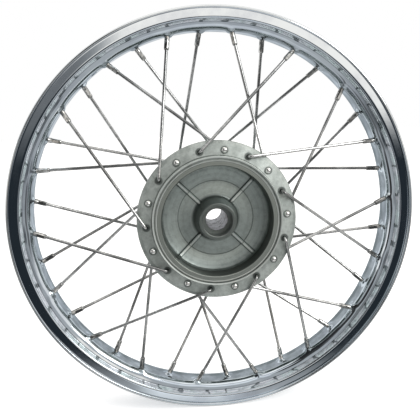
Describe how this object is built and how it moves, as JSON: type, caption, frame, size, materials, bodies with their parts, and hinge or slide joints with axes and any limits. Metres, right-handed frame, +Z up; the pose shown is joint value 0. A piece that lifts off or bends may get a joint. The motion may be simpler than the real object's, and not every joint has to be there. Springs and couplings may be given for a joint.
{
  "type": "spoked wheel",
  "caption": "Wire-spoked front wheel for a motorcycle: chromed well rim laced to an aluminium hub with a built-in brake drum, bearing seats empty.",
  "frame": {"origin": "the wheel's centre: on the axle line, in the middle plane of the rim", "axes": "+Y along the axle from the drum side to the plain side, +Z up with the wheel standing, +X to the right seen from the drum side"},
  "size_m": [0.4832, 0.0933, 0.4832],
  "materials": {
    "chromed_rim": "bright chrome plate on steel",
    "hub_aluminium": "fine blasted and machined casting",
    "drum_iron": "bored iron",
    "spoke_steel": "drawn and zinc plated",
    "nipple_plating": "bright plated"
  },
  "bodies": {
    "root": {"rim": "chromed_rim", "hub_casting": "hub_aluminium", "brake_drum_liner": "drum_iron", "spoke_drum_outer_1": "spoke_steel", "spoke_drum_outer_2": "spoke_steel", "spoke_drum_outer_3": "spoke_steel", "spoke_drum_outer_4": "spoke_steel", "spoke_drum_outer_5": "spoke_steel", "spoke_drum_outer_6": "spoke_steel", "spoke_drum_outer_7": "spoke_steel", "spoke_drum_outer_8": "spoke_steel", "spoke_drum_outer_9": "spoke_steel", "spoke_drum_inner_1": "spoke_steel", "spoke_drum_inner_2": "spoke_steel", "spoke_drum_inner_3": "spoke_steel", "spoke_drum_inner_4": "spoke_steel", "spoke_drum_inner_5": "spoke_steel", "spoke_drum_inner_6": "spoke_steel", "spoke_drum_inner_7": "spoke_steel", "spoke_drum_inner_8": "spoke_steel", "spoke_drum_inner_9": "spoke_steel", "spoke_plain_outer_1": "spoke_steel", "spoke_plain_outer_2": "spoke_steel", "spoke_plain_outer_3": "spoke_steel", "spoke_plain_outer_4": "spoke_steel", "spoke_plain_outer_5": "spoke_steel", "spoke_plain_outer_6": "spoke_steel", "spoke_plain_outer_7": "spoke_steel", "spoke_plain_outer_8": "spoke_steel", "spoke_plain_outer_9": "spoke_steel", "spoke_plain_inner_1": "spoke_steel", "spoke_plain_inner_2": "spoke_steel", "spoke_plain_inner_3": "spoke_steel", "spoke_plain_inner_4": "spoke_steel", "spoke_plain_inner_5": "spoke_steel", "spoke_plain_inner_6": "spoke_steel", "spoke_plain_inner_7": "spoke_steel", "spoke_plain_inner_8": "spoke_steel", "spoke_plain_inner_9": "spoke_steel", "nipples_drum_outer": "nipple_plating", "nipples_drum_inner": "nipple_plating", "nipples_plain_outer": "nipple_plating", "nipples_plain_inner": "nipple_plating"}
  },
  "joints": []
}
